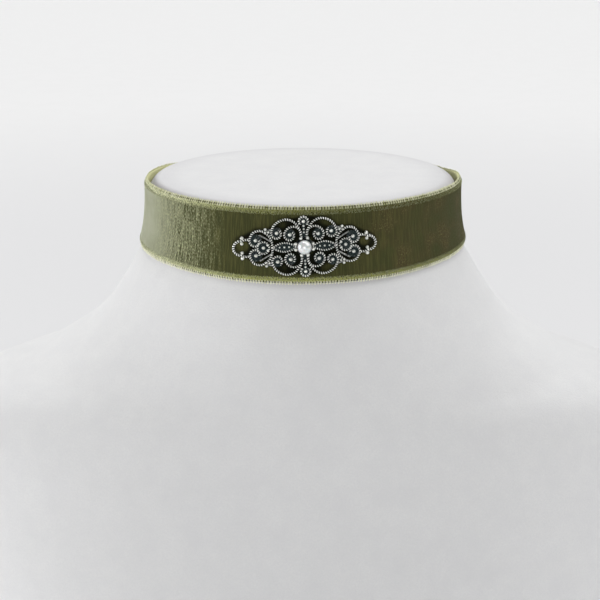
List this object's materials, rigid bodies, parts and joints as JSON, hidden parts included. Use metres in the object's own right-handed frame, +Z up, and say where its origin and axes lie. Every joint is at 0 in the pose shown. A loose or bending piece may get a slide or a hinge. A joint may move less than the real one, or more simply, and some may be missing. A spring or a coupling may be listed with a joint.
{
  "type": "choker necklace on neck bust",
  "caption": "Velvet ribbon choker with a pierced silver filigree plaque and a pearl, fastened round a plain cloth-covered neck bust.",
  "frame": {"origin": "middle of the bounding box on the bust's base", "axes": "+Z up, front of the choker faces -Y, +X to the right as seen from the front"},
  "size_m": [0.254, 0.1331, 0.1905],
  "materials": {
    "bust_fabric": "fine white flocked cloth, matt",
    "olive_velvet": "short upright velvet pile with woven selvedges, silvery sheen at grazing angles",
    "clasp_metal": "plain dull silver",
    "antique_silver": "oxidised silver, bright on the raised milling and granules, dark in the recesses",
    "pearl_nacre": "white nacre, satin gloss"
  },
  "bodies": {
    "root": {"neck_bust": "bust_fabric", "velvet_ribbon": "olive_velvet", "clasp": "clasp_metal", "filigree": "antique_silver", "pearl": "pearl_nacre"}
  },
  "joints": []
}
